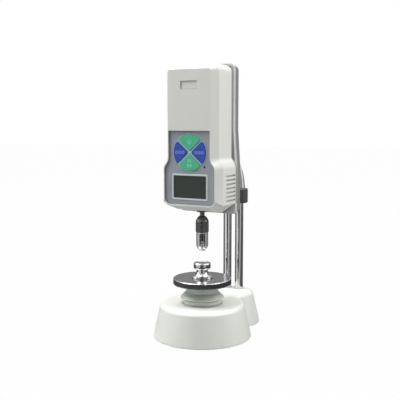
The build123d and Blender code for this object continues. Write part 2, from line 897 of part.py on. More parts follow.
def key_outline(index, grow):
    """One of four petals, counted from the top key clockwise, as an (x, z) face."""
    rise = radians(key_split_angle if index % 2 == 0 else 90 - key_split_angle)
    half_gap = key_gap / 2 - grow
    apex = half_gap / cos(rise)
    reach = 2 * keypad_radius
    wedge = make_face(Polyline(
        (0, apex),
        (reach, apex + reach * tan(rise)),
        (reach, apex + reach * tan(rise) + reach),
        (-reach, apex + reach * tan(rise) + reach),
        (-reach, apex + reach * tan(rise)),
        close=True,
    ))
    petal = Circle(keypad_radius + grow) & wedge
    petal = fillet(petal.vertices(), key_corner_radius + grow)
    return Pos(0, keypad_height) * Rot(0, 0, -90 * index) * petal


def keypad_outline(gap):
    """The four petals and their frame as one (x, z) face."""
    outline = Pos(0, keypad_height) * Circle(keypad_hub_radius)
    for i in range(4):
        outline += key_outline(i, keypad_frame_width + gap)
    return outline


def key_centre(index):
    angle = radians(90 - 90 * index)
    return (key_centre_radius * cos(angle), keypad_height + key_centre_radius * sin(angle))


def make_control_panel():
    panel = plate_y(panel_outline(lid_gap), panel_face_y, panel_floor_y)
    panel -= plate_y(keypad_outline(lid_gap), panel_face_y - 1, panel_floor_y + 1)
    panel -= plate_y(display_outline(lid_gap), panel_face_y - 1, panel_floor_y + 1)
    return panel - rod_y(lamp_radius + lid_gap, panel_face_y - 1, panel_floor_y + 1, lamp_x, lamp_height)


def make_keypad_frame():
    front = panel_face_y - 0.3
    frame = plate_y(keypad_outline(0), front, shell_inner_y)
    for i in range(4):
        frame -= plate_y(key_outline(i, key_clearance), front - 1, shell_inner_y + 1)
    return frame


def make_key(index):
    front = panel_face_y - key_proud
    flange = shell_inner_y + running_gap
    cap = plate_y(key_outline(index, 0), front, flange + 0.1)
    face_edges = cap.edges().group_by(Axis.Y)[0]
    cap = fillet(face_edges, 0.35)
    cap += plate_y(key_outline(index, key_flange), flange, flange + key_flange_thickness)
    x, z = key_centre(index)
    return cap + rod_y(key_stem_radius, flange, switch_front_y + key_stem_reach, x, z)


def make_key_switches():
    switches = []
    for i in range(4):
        x, z = key_centre(i)
        half = switch_size / 2
        body = block(x - half, x + half, switch_front_y, board_face_y, z - half, z + half)
        hole = rod_y(key_stem_radius + lid_gap, switch_front_y - 1, switch_front_y + switch_hole_depth, x, z)
        switches.append(body - hole)
    return Compound(switches)


def make_display_bezel():
    front = panel_face_y - display_proud
    outer = plate_y(display_outline(0), front, window_back_y)
    front_edges = outer.edges().group_by(Axis.Y)[0]
    outer = chamfer(front_edges, 0.3)
    return outer - plate_y(window_outline(0), front - 1, window_back_y + 1)


def make_display_window():
    return plate_y(window_outline(-slip_gap), window_back_y - window_thickness, window_back_y)


def make_display_module():
    front = window_back_y + slip_gap
    body = plate_y(display_outline(-display_module_margin), front, front + display_module_thickness)
    for sx in (-1, 1):
        for sz in (-1, 1):
            x = sx * (display_width / 2 - 4)
            z = display_centre + sz * (display_height / 2 - 4)
            body += rod_y(1.5, front + 1, board_face_y, x, z)
    return body


def make_status_lamp():
    return rod_y(lamp_radius, panel_face_y - 0.2, board_face_y, lamp_x, lamp_height)


def make_circuit_board():
    middle = (board_bottom + board_top) / 2
    outline = Pos(0, middle) * RectangleRounded(board_width, board_top - board_bottom, 2)
    board = plate_y(outline, board_face_y, board_back_y)
    for x, z in board_post_places():
        board -= rod_y(board_screw_radius + lid_gap, board_face_y - 1, board_back_y + 1, x, z)
    return board


def make_board_screws():
    shank = board_screw_radius - slip_gap
    screw = pan_screw(shank, board_thickness + board_screw_grip, board_head_radius, board_head_height)
    screw = Rot(90, 0, 0) * screw
    return Compound([Pos(x, board_back_y, z) * screw for x, z in board_post_places()])


def make_battery_pack():
    """Round cells side by side in one sleeve, against the chassis."""
    y = shell_end_y - cell_radius
    outline = SlotCenterToCenter((cell_count - 1) * 2 * cell_radius, 2 * cell_radius)
    sleeve = extrude(outline, cell_length)
    return Pos(0, y, battery_bottom) * fillet(sleeve.edges().filter_by(Plane.XY), 0.8)


# Load cell, force rod and chuck

def cell_screw_places():
    return (-load_cell_width / 4, load_cell_width / 4)


def make_load_cell():
    half_x = load_cell_width / 2
    half_y = load_cell_depth / 2
    body = block(-half_x, half_x, -half_y, half_y, load_cell_bottom, cell_top)
    middle = load_cell_bottom + load_cell_height / 2
    offset = load_cell_height * 0.2
    reach = half_x - 4
    for side in (-1, 1):
        low = middle + side * offset - load_cell_slot / 2
        x0, x1 = sorted((-side * (half_x + 1), side * reach))
        body -= block(x0, x1, -half_y - 1, half_y + 1, low, low + load_cell_slot)
    body -= rod_y(offset * 0.6, -half_y - 1, half_y + 1, 0, middle)
    body -= rod(rod_radius + running_gap, load_cell_bottom - 1, load_cell_bottom + load_cell_bore_depth - 5)
    for x in cell_screw_places():
        body -= rod(housing_screw_radius, cell_top - 5.5, cell_top + 1, x)
    return body


def make_cell_bracket():
    half_x = load_cell_width / 2
    half_y = load_cell_depth / 2
    top = cell_top + cell_bracket_thickness
    body = block(-half_x, half_x, -half_y, shell_end_y, cell_top, top)
    body += block(-half_x, half_x, shell_end_y - 4, shell_end_y, top - 1, top + cell_bracket_leg)
    inner = body.edges().filter_by(Axis.X)
    corner = [e for e in inner if abs(e.center().Z - top) < 0.1 and e.center().Y > 0]
    body = fillet(corner, 1.5)
    for x in cell_screw_places():
        body -= rod(housing_screw_radius + lid_gap, cell_top - 1, top + 1, x)
        middle = top + cell_bracket_leg / 2
        body -= rod_y(housing_screw_radius + lid_gap, 0, shell_end_y + 1, x, middle)
    return body


def make_cell_screws():
    top = cell_top + cell_bracket_thickness
    shank = housing_screw_radius - slip_gap
    screw = pan_screw(shank, cell_bracket_thickness + 5, screw_head_radius, screw_head_height)
    down = Rot(180, 0, 0) * screw
    short = pan_screw(shank, chassis_thickness + 3.8, screw_head_radius, screw_head_height)
    back = Rot(-90, 0, 0) * short
    middle = top + cell_bracket_leg / 2
    solids = [Pos(x, 0, top) * down for x in cell_screw_places()]
    solids += [Pos(x, shell_end_y - 4, middle) * back for x in cell_screw_places()]
    return Compound(solids)


def make_rod_bush():
    floor = underside(-rod_bush_flange_radius) + housing_wall / cos(radians(underside_slope))
    bush = rod(rod_bush_radius, underside(0) - 0.6, floor + 0.1)
    bush += rod(rod_bush_flange_radius, floor + 0.1, floor + 0.1 + rod_bush_flange)
    return bush - rod(rod_radius + running_gap, dome_top, floor + 2 * rod_bush_flange)


def make_force_rod():
    high = load_cell_bottom + load_cell_bore_depth - 5 - rod_travel - 0.2
    return chamfer(rod(rod_radius, dome_top - 3, high).edges().group_by(Axis.Z)[-1], 0.4)


def make_chuck_body():
    with BuildPart() as body:
        with BuildSketch(Plane.XZ):
            with BuildLine():
                Polyline(
                    (0, core_bottom),
                    (core_radius, core_bottom),
                    (core_radius, dome_bottom),
                    (knurl_radius - 0.1, dome_bottom),
                    (knurl_radius - 0.1, dome_bottom + 0.8),
                )
                ThreePointArc(
                    (knurl_radius - 0.1, dome_bottom + 0.8),
                    (knurl_radius * 0.77, dome_bottom + dome_height * 0.66),
                    (rod_radius + 0.9, dome_top),
                )
                Polyline((rod_radius + 0.9, dome_top), (0, dome_top), (0, core_bottom))
            make_face()
        revolve(axis=Axis.Z)
    shape = body.part - rod(rod_radius + slip_gap, dome_top - 3, dome_top + 1)
    bore_top = chuck_tip_height + collet_length + collet_travel + stop_gap
    return shape - rod(collet_shank_radius + running_gap, core_bottom - 1, bore_top)


def make_chuck_collar():
    low = knurl_bottom + lid_gap
    high = dome_bottom - lid_gap
    ring = rod(knurl_radius, low, high)
    ring = chamfer(ring.edges().filter_by(GeomType.CIRCLE), 0.5)
    side = knurl_depth * sqrt(2)
    groove = Rot(0, 0, 45) * Box(side, side, knurl_height * 4)
    grooves = [
        Rot(0, 0, i * 360 / knurl_count) * Pos(knurl_radius, 0, low) * groove
        for i in range(knurl_count)
    ]
    ring = ring - grooves
    return ring - rod(core_radius + running_gap, low - 1, high + 1)


def make_chuck_sleeve():
    tip = chuck_tip_height + collet_reach
    with BuildPart() as sleeve:
        with BuildSketch(Plane.XZ):
            with BuildLine():
                Line((collet_tip_radius + 0.1, tip), (nose_tip_radius, tip))
                ThreePointArc(
                    (nose_tip_radius, tip),
                    (sleeve_radius * 0.87, tip + (sleeve_bottom - tip) * 0.52),
                    (sleeve_radius, sleeve_bottom),
                )
                Polyline(
                    (sleeve_radius, sleeve_bottom),
                    (sleeve_radius, knurl_bottom),
                    (core_radius + slip_gap, knurl_bottom),
                    (core_radius + slip_gap, core_bottom - 0.7),
                    (collet_cone_radius + 0.1, core_bottom - 0.7),
                    (collet_cone_radius + 0.1, cone_top),
                    (collet_tip_radius + 0.1, tip + 1),
                    (collet_tip_radius + 0.1, tip),
                )
            make_face()
        revolve(axis=Axis.Z)
    body = sleeve.part
    low = sleeve_bottom - 0.3
    half = sleeve_window_width / 2
    pocket = block(sleeve_radius - sleeve_window_depth, 20, -half, half, low, knurl_bottom - 1.2)
    slit = block(collet_tip_radius - 1, 20, -collet_slit, collet_slit, tip - 1, low + 1)
    for i in range(3):
        body -= Rot(0, 0, window_angle + 120 * i) * (pocket + slit)
    return body


def make_collet():
    body = turned([
        (collet_bore_radius, chuck_tip_height),
        (collet_tip_radius - 0.5, chuck_tip_height),
        (collet_tip_radius, chuck_tip_height + 0.6),
        (collet_tip_radius, chuck_tip_height + collet_reach + 1),
        (collet_cone_radius, cone_top),
        (collet_cone_radius, cone_top + 2.5),
        (collet_shank_radius, cone_top + 3),
        (collet_shank_radius, chuck_tip_height + collet_length),
        (collet_relief_radius, chuck_tip_height + collet_length),
        (collet_relief_radius, chuck_tip_height + collet_land),
        (collet_bore_radius, chuck_tip_height + collet_land),
    ])
    slit_top = chuck_tip_height + collet_slit_length
    half = collet_slit / 2
    for i in range(4):
        slit = block(0, 2 * collet_cone_radius, -half, half, chuck_tip_height - 1, slit_top)
        body -= Rot(0, 0, window_angle + 90 * i) * slit
    return body


def main():
    os.makedirs("parts", exist_ok=True)
    export("base_housing", make_base_housing())
    export("base_cover", make_base_cover())
    export("rubber_feet", make_rubber_feet())
    export("cover_screws", make_cover_screws())
    export("column_bolts", make_column_bolts())
    export("screw_collar", make_screw_collar())
    export("collar_screws", make_collar_screws())
    export("thrust_washer", make_thrust_washer())
    export("guide_bush", make_guide_bush())
    export("guide_key", make_guide_key())
    export("handwheel", make_handwheel())
    export("retaining_ring", make_retaining_ring())
    export("lift_screw", make_lift_screw())
    export("sample_stage", make_stage())
    for side, x in (("left", -column_x), ("right", column_x)):
        export("column_" + side, make_column(x))
        export("column_cap_" + side, make_column_cap(x))
    export("support_bracket", make_support_bracket())
    export("bracket_screws", make_bracket_screws())
    export("gauge_front_shell", make_gauge_front_shell())
    export("chassis", make_chassis())
    export("gauge_rear_shell", make_gauge_rear_shell())
    export("housing_screws", make_housing_screws())
    export("control_panel", make_control_panel())
    export("keypad_frame", make_keypad_frame())
    for index, name in enumerate(("top", "right", "bottom", "left")):
        export("key_" + name, make_key(index))
    export("key_switches", make_key_switches())
    export("display_bezel", make_display_bezel())
    export("display_window", make_display_window())
    export("display_module", make_display_module())
    export("status_lamp", make_status_lamp())
    export("circuit_board", make_circuit_board())
    export("board_screws", make_board_screws())
    export("battery_pack", make_battery_pack())
    export("load_cell", make_load_cell())
    export("cell_bracket", make_cell_bracket())
    export("cell_screws", make_cell_screws())
    export("rod_bush", make_rod_bush())
    export("force_rod", make_force_rod())
    export("chuck_body", make_chuck_body())
    export("chuck_collar", make_chuck_collar())
    export("chuck_sleeve", make_chuck_sleeve())
    export("collet", make_collet())


main()
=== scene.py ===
import bmesh
import bpy
import json
from math import cos, pi, radians, sin, sqrt
from mathutils import Euler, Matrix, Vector


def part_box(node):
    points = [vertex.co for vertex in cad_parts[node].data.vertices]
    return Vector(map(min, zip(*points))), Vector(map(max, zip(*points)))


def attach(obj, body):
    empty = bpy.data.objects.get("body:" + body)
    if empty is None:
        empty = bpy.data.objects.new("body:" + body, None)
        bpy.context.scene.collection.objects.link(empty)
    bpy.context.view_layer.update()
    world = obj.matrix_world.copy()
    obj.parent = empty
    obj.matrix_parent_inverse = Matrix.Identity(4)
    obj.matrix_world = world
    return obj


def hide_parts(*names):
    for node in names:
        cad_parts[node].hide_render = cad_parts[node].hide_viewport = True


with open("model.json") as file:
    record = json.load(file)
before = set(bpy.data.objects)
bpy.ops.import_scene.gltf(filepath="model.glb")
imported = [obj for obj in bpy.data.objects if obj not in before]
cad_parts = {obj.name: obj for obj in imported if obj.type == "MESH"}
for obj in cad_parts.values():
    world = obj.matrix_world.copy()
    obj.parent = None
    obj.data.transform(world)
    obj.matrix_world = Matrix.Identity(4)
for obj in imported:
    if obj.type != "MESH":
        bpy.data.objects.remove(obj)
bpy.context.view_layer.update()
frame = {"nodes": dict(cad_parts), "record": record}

# Sizes are in metres, heights are above the bench, and Y = axis_y is the working axis.
mm = 0.001
axis_y = sum(corner.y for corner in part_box("sample_stage")) / 2

# Camera, fitted to the photograph
camera_place = (0.35077, -0.67721, 0.2368)
camera_turn = (83.61, 0.0, 28.44)
camera_lens = 60.57
sensor_width = 36.0


def srgb(red, green, blue):
    """A colour written as 0 to 255 on screen, as the shader's linear colour."""
    def linear(value):
        value /= 255
        return value / 12.92 if value <= 0.04045 else ((value + 0.055) / 1.055) ** 2.4
    return (linear(red), linear(green), linear(blue), 1.0)


# Shader helpers

# Socket numbers of the two colours and the result on Blender's mix node
mix_first = 6
mix_second = 7
mix_result = 2


def node(tree, kind, **settings):
    """A shader node, with its inputs or its properties set by name."""
    made = tree.nodes.new(kind)
    for key, value in settings.items():
        if key in made.inputs:
            made.inputs[key].default_value = value
        else:
            setattr(made, key, value)
    return made


def noise(tree, coordinates, scale, detail=3.0, stretch=None):
    """A noise value; stretch scales the three axes before the noise is read."""
    texture = node(tree, "ShaderNodeTexNoise", Scale=scale, Detail=detail)
    source = coordinates
    if stretch:
        mapping = node(tree, "ShaderNodeMapping", Scale=stretch)
        tree.links.new(coordinates, mapping.inputs["Vector"])
        source = mapping.outputs["Vector"]
    tree.links.new(source, texture.inputs["Vector"])
    return texture.outputs["Fac"]


def between(tree, value, low, high, start=0.3, end=0.7):
    """A value moved from start..end to low..high."""
    ranged = node(tree, "ShaderNodeMapRange", **{
        "From Min": start, "From Max": end, "To Min": low, "To Max": high})
    tree.links.new(value, ranged.inputs["Value"])
    return ranged.outputs["Result"]


def tinted(tree, value, dark, light):
    """A colour between two, steered by a value."""
    mix = node(tree, "ShaderNodeMix", data_type="RGBA")
    tree.links.new(value, mix.inputs["Factor"])
    mix.inputs[mix_first].default_value = dark
    mix.inputs[mix_second].default_value = light
    return mix.outputs[mix_result]


def object_space(tree):
    return node(tree, "ShaderNodeTexCoord").outputs["Object"]


def bumped(tree, shader, value, depth, strength):
    """The shader's normals follow a value as if it were relief."""
    bump = node(tree, "ShaderNodeBump", Strength=strength, Distance=depth)
    tree.links.new(value, bump.inputs["Height"])
    tree.links.new(bump.outputs["Normal"], shader.inputs["Normal"])


def shaded(colour, factor):
    """A colour made darker or lighter."""
    return tuple(channel * factor for channel in colour[:3]) + (1.0,)


def with_painted_shade(tree, colour, reach, depth):
    """A colour with painted shade: it darkens by up to depth where other faces come within reach."""
    hollow = node(tree, "ShaderNodeAmbientOcclusion", samples=8, Distance=reach)
    share = between(tree, hollow.outputs["AO"], 1 - depth, 1.0, 0.35, 0.95)
    mix = node(tree, "ShaderNodeMix", data_type="RGBA", blend_type="MULTIPLY")
    mix.inputs["Factor"].default_value = 1.0
    tree.links.new(colour, mix.inputs[mix_first])
    tree.links.new(share, mix.inputs[mix_second])
    return mix.outputs[mix_result]


def surface(name, colour, rough, metal=0.0, variation=0.04, rough_spread=0.05, patch=30.0,
            grain=1500.0, grain_depth=0.02 * mm, grain_strength=0.3, stretch=None, coat=0.0,
            crevice_painted_shade=0.0, painted_shade_reach=2.5 * mm):
    """A finish with slow colour changes, uneven roughness, painted shade in crevices and a fine grain.
    """
    material = bpy.data.materials.new(name)
    material.use_nodes = True
    tree = material.node_tree
    shader = tree.nodes["Principled BSDF"]
    place = object_space(tree)
    slow = noise(tree, place, patch)
    fine = noise(tree, place, grain, 4.0, stretch)
    mixed = tinted(tree, between(tree, slow, 0.0, 1.0),
                   shaded(colour, 1 - variation), shaded(colour, 1 + variation))
    if crevice_painted_shade:
        mixed = with_painted_shade(tree, mixed, painted_shade_reach, crevice_painted_shade)
    tree.links.new(mixed, shader.inputs["Base Color"])
    smear = noise(tree, place, patch * 5, 5.0, stretch)
    tree.links.new(between(tree, smear, max(rough - rough_spread, 0.02), rough + rough_spread),
                   shader.inputs["Roughness"])
    bumped(tree, shader, fine, grain_depth, grain_strength)
    shader.inputs["Metallic"].default_value = metal
    shader.inputs["Coat Weight"].default_value = coat
    shader.inputs["Coat Roughness"].default_value = 0.08
    return material


def tinted_window(name):
    """A thin smoked window, seen through without bending the light."""
    material = bpy.data.materials.new(name)
    material.use_nodes = True
    shader = material.node_tree.nodes["Principled BSDF"]
    shader.inputs["Base Color"].default_value = srgb(58, 66, 58)
    shader.inputs["Alpha"].default_value = 0.45
    shader.inputs["Roughness"].default_value = 0.12
    return material


# The crevice numbers give painted shade: colour darkened where other faces come near, as in recesses,
# grooves and along the bench under the base.
finishes = {
    "enamel": surface("base_enamel", srgb(229, 232, 225), 0.34, variation=0.004, patch=18.0,
                      grain=900.0, grain_depth=0.01 * mm, grain_strength=0.1, crevice_painted_shade=0.75,
                      painted_shade_reach=4 * mm),
    # The collar's enamel has a long crevice reach: painted shade from the wheel above it.
    "collar": surface("collar_enamel_painted_shade", srgb(216, 222, 215), 0.34, variation=0.004, grain=900.0,
                      grain_depth=0.01 * mm, grain_strength=0.1, crevice_painted_shade=0.5,
                      painted_shade_reach=14 * mm),
    "plastic": surface("housing_plastic", srgb(230, 231, 226), 0.45, variation=0.012, grain=2600.0,
                       grain_depth=0.03 * mm, grain_strength=0.25, crevice_painted_shade=0.45),
    "rear": surface("rear_plastic", srgb(206, 207, 204), 0.45, variation=0.012, grain=2600.0,
                    grain_depth=0.03 * mm, grain_strength=0.25, crevice_painted_shade=0.45),
    # The rear cover's back part is painted mid grey: painted shade where it turns away from the light.
    "back": surface("back_plastic_painted_shade", srgb(134, 136, 134), 0.4, variation=0.02, grain=2600.0,
                    grain_depth=0.03 * mm, grain_strength=0.25),
    "panel": surface("panel_film", srgb(158, 163, 170), 0.45, variation=0.03, grain=3000.0,
                     grain_strength=0.2, crevice_painted_shade=0.6, painted_shade_reach=2.2 * mm),
    "pale": surface("frame_plastic", srgb(216, 223, 226), 0.4, variation=0.02),
    "frame_blue": surface("keypad_frame_plastic", srgb(176, 202, 214), 0.4, variation=0.03),
    "green": surface("key_green_rubber", srgb(72, 190, 142), 0.45, variation=0.05),
    "blue": surface("key_blue_rubber", srgb(40, 74, 178), 0.45, variation=0.06),
    "mark_green": surface("key_mark_green", srgb(128, 214, 190), 0.5, variation=0.04),
    "mark_blue": surface("key_mark_blue", srgb(120, 140, 205), 0.5, variation=0.04),
    "display": surface("display_dark", srgb(74, 86, 74), 0.35, variation=0.04),
    "chrome": surface("chrome", (0.82, 0.82, 0.83, 1), 0.07, metal=1.0, variation=0.02, patch=60.0,
                      rough_spread=0.03, grain=900.0, grain_depth=0.01 * mm, grain_strength=0.1),
    "stage": surface("stage_chrome", (0.6, 0.6, 0.61, 1), 0.14, metal=1.0, variation=0.02, patch=60.0,
                     rough_spread=0.03, grain=900.0, grain_depth=0.01 * mm, grain_strength=0.1),
    "cap": surface("cap_chrome", (0.42, 0.42, 0.42, 1), 0.2, metal=1.0, variation=0.03),
    "wheel": surface("wheel_steel", (0.5, 0.5, 0.51, 1), 0.16, metal=1.0, variation=0.05,
                     rough_spread=0.05, grain=2200.0, grain_depth=0.01 * mm),
    "edge": surface("wheel_edge", (0.8, 0.8, 0.8, 1), 0.12, metal=1.0, variation=0.03),
    "knurl": surface("knurl_steel", (0.09, 0.092, 0.094, 1), 0.38, metal=1.0, variation=0.1,
                     rough_spread=0.1, grain=2600.0),
    "collar_knurl": surface("collar_steel", (0.16, 0.16, 0.155, 1), 0.45, metal=0.7, variation=0.1),
    "column": surface("column_chrome", (0.66, 0.66, 0.665, 1), 0.1, metal=1.0, variation=0.02),
    "stage_ring": surface("stage_ring", srgb(48, 48, 48), 0.45, variation=0.05),
    "recess": surface("recess_shadow", srgb(150, 152, 150), 0.6, variation=0.02),
    "sleeve": surface("sleeve_steel", (0.5, 0.5, 0.49, 1), 0.4, metal=0.85, variation=0.06),
    "nose": surface("nose_steel", (0.8, 0.8, 0.78, 1), 0.35, metal=0.7, variation=0.04),
    "gunmetal": surface("chuck_steel", (0.14, 0.14, 0.14, 1), 0.22, metal=1.0, variation=0.06),
    "steel": surface("plain_steel", (0.5, 0.5, 0.49, 1), 0.3, metal=1.0, variation=0.05),
    "bronze": surface("bronze", (0.62, 0.42, 0.2, 1), 0.35, metal=1.0),
    "black": surface("black_paint", srgb(64, 66, 66), 0.42, variation=0.08, grain=1200.0,
                     grain_depth=0.05 * mm),
    "dark": surface("chassis_dark", srgb(150, 151, 150), 0.5, variation=0.04, crevice_painted_shade=0.3),
    "rubber": surface("foot_rubber", srgb(44, 44, 44), 0.75, variation=0.06),
    "lamp": surface("lamp_lens", srgb(60, 62, 60), 0.2, variation=0.03),
    "board": surface("board_green", srgb(34, 92, 56), 0.5),
    "sleeve_blue": surface("battery_film", srgb(60, 110, 160), 0.35),
    "clear": tinted_window("display_glass"),
}

worn_by = {
    "enamel": ["base_housing"],
    "collar": ["screw_collar"],
    "plastic": ["gauge_front_shell"],
    "rear": ["gauge_rear_shell"],
    "panel": ["control_panel"],
    "pale": ["display_bezel"],
    "frame_blue": ["keypad_frame"],
    "green": ["key_top", "key_bottom"],
    "blue": ["key_right", "key_left"],
    "display": ["display_module"],
    "clear": ["display_window"],
    "chrome": ["column_left", "column_right", "collet"],
    "cap": ["column_cap_left", "column_cap_right"],
    "stage": ["sample_stage"],
    "wheel": ["handwheel"],
    "collar_knurl": ["chuck_collar"],
    "sleeve": ["chuck_sleeve"],
    "gunmetal": ["chuck_body", "force_rod"],
    "steel": ["lift_screw", "cover_screws", "column_bolts", "collar_screws", "bracket_screws",
              "housing_screws", "board_screws", "cell_screws", "retaining_ring", "thrust_washer",
              "guide_key", "load_cell", "cell_bracket"],
    "bronze": ["guide_bush"],
    "black": ["support_bracket", "base_cover", "rod_bush", "key_switches"],
    "dark": ["chassis"],
    "rubber": ["rubber_feet"],
    "lamp": ["status_lamp"],
    "board": ["circuit_board"],
    "sleeve_blue": ["battery_pack"],
}
for finish, names in worn_by.items():
    for name in names:
        mesh = frame["nodes"][name].data
        mesh.materials.clear()
        mesh.materials.append(finishes[finish])

carried_by = {name: body for body, names in frame["record"]["behaviour"]["bodies"].items()
              for name in names}


# Visible pieces, rebuilt from the CAD meshes with worn edges

# Points closer than this are one, and faces that bend less than this are one flat face
weld_distance = 0.002 * mm
flat_angle = radians(0.5)

# A face stands upright when its normal rises or falls less than this
upright = 0.5


def finished_mesh(shape, name, *used):
    """A mesh from a shape, with its finishes in the order of its slots."""
    mesh = bpy.data.meshes.new(name)
    shape.to_mesh(mesh)
    shape.free()
    for finish in used:
        mesh.materials.append(finishes[finish])
    return mesh


def added(name, mesh, node_name, replaced=True):
    """An object that rides with a node's body, and hides the node when it replaces it."""
    made = bpy.data.objects.new(name, mesh)
    bpy.context.collection.objects.link(made)
    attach(made, carried_by[node_name])
    if replaced:
        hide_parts(node_name)
    return made


def rebuilt(node_name, edge, segments=3, angle=35.0):
    """A copy of a CAD node in the row frame, welded, with its sharp edges rounded."""
    source = frame["nodes"][node_name]
    shape = bmesh.new()
    shape.from_mesh(source.data)
    shape.transform(source.matrix_world)
    bmesh.ops.remove_doubles(shape, verts=shape.verts, dist=weld_distance)
    bmesh.ops.dissolve_limit(shape, angle_limit=flat_angle, verts=shape.verts, edges=shape.edges)
    mesh = finished_mesh(shape, node_name + "_look")
    for finish in source.data.materials:
        mesh.materials.append(finish)
    mesh.shade_smooth()
    made = added(node_name + "_look", mesh, node_name)
    if edge:
        bevel = made.modifiers.new("edges", "BEVEL")
        bevel.width = edge
        bevel.segments = segments
        bevel.limit_method = "ANGLE"
        bevel.angle_limit = radians(angle)
        bevel.harden_normals = False
    mesh.set_sharp_from_angle(angle=radians(angle))
    weighted = made.modifiers.new("normals", "WEIGHTED_NORMAL")
    weighted.keep_sharp = True
    return made


def painted(made, finish, chosen):
    """Faces whose centre and normal pass the rule take another finish."""
    made.data.materials.append(finishes[finish])
    last = len(made.data.materials) - 1
    for face in made.data.polygons:
        if chosen(face.center, face.normal):
            face.material_index = last


def banded(made, heights):
    """Edges around a piece at these heights, so that a band of it can take its own finish."""
    shape = bmesh.new()
    shape.from_mesh(made.data)
    for height in heights:
        everything = shape.verts[:] + shape.edges[:] + shape.faces[:]
        bmesh.ops.bisect_plane(shape, geom=everything, plane_co=(0, 0, height), plane_no=(0, 0, 1))
    shape.to_mesh(made.data)
    shape.free()


def radius_at(point):
    """How far a point is from the working axis."""
    return sqrt(point.x ** 2 + (point.y - axis_y) ** 2)


def rebuild_pieces():
    # Width of the worn edges in millimetres
    soft_edges = {
        "gauge_front_shell": 0.45, "gauge_rear_shell": 0.7, "chassis": 0.15, "control_panel": 0.12,
        "keypad_frame": 0.25, "display_bezel": 0.3, "support_bracket": 0.5, "base_housing": 0.4,
        "screw_collar": 0.3,
    }
    made = {name: rebuilt(name, edge * mm) for name, edge in soft_edges.items()}
    # The back part of the rear cover takes the mid-grey painted shade.
    shaded_back_begins_y = -5.9 * mm
    painted(made["gauge_rear_shell"], "back", lambda c, n: c.y > shaded_back_begins_y)
    # The drum below the cone takes the base's enamel, with less painted shade than the neck under the
    # wheel.
    drum_top = 43.0 * mm
    painted(made["screw_collar"], "enamel", lambda c, n: c.z < drum_top and abs(n.z) < upright)
    sleeve = rebuilt("chuck_sleeve", 0.15 * mm)
    nose_height = 6 * mm
    nose_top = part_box("chuck_sleeve")[0].z + nose_height
    painted(sleeve, "nose", lambda c, n: n.z < -0.2 and c.z < nose_top)
    # The label recess's downward-facing top wall is painted grey: painted shade.
    label_low = 270.0 * mm
    label_half_width = 11.0 * mm
    painted(made["gauge_front_shell"], "recess",
            lambda c, n: n.z < -0.9 and c.z > label_low and abs(c.x) < label_half_width)
    stage = rebuilt("sample_stage", 0)
    stage_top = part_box("sample_stage")[1].z
    ring_low = stage_top - 5.6 * mm
    ring_high = stage_top - 4.1 * mm
    stem_clear = 7.0 * mm
    banded(stage, (ring_low, ring_high))
    painted(stage, "stage_ring",
            lambda c, n: ring_low < c.z < ring_high and radius_at(c) > stem_clear)
    for name in ("column_left", "column_right"):
        painted(rebuilt(name, 0), "column", lambda c, n: True)
    wheel = rebuilt("handwheel", 0)
    rim = 31.6 * mm
    level = 0.95
    painted(wheel, "knurl", lambda c, n: radius_at(c) > rim and abs(n.z) < upright)
    painted(wheel, "edge", lambda c, n: radius_at(c) > rim and upright < abs(n.z) < level)


def rear_corners():
    """The rear cover's square lower corners, which the solids leave slanted."""
    run = 14.3 * mm
    round_off = 3.0 * mm
    round_steps = 6
    overlap = 1 * mm
    # Depth, half width, height of the lower face and height where the flank begins
    stations = (
        (-11.3 * mm, 34.0 * mm, 139.0 * mm, 151.5 * mm),
        (-6.0 * mm, 34.0 * mm, 138.0 * mm, 151.5 * mm),
        (16.7 * mm, 27.0 * mm, 139.5 * mm, 153.0 * mm),
    )
    for side in (-1, 1):
        shape = bmesh.new()
        loops = []
        for y, wide, low, flank in stations:
            points = [(wide, flank + overlap)]
            for i in range(round_steps + 1):
                turn = pi / 2 * i / round_steps
                points.append((wide - round_off * (1 - cos(turn)), low + round_off * (1 - sin(turn))))
            points.append((wide - run - overlap, low))
            loops.append([shape.verts.new((side * x, y, z)) for x, z in points])
        for slot, near, far in zip((0, 1), loops, loops[1:]):
            for i in range(len(near)):
                after = (i + 1) % len(near)
                face = shape.faces.new((near[i], near[after], far[after], far[i]))
                face.material_index = slot
        shape.faces.new(loops[0])
        shape.faces.new(loops[-1]).material_index = 1
        bmesh.ops.recalc_face_normals(shape, faces=shape.faces)
        # The corners' back faces take the same painted shade.
        mesh = finished_mesh(shape, "rear_corner_look", "rear", "back")
        mesh.shade_smooth()
        mesh.set_sharp_from_angle(angle=radians(30))
        name = "rear_corner_left" if side < 0 else "rear_corner_right"
        added(name, mesh, "gauge_rear_shell", replaced=False)


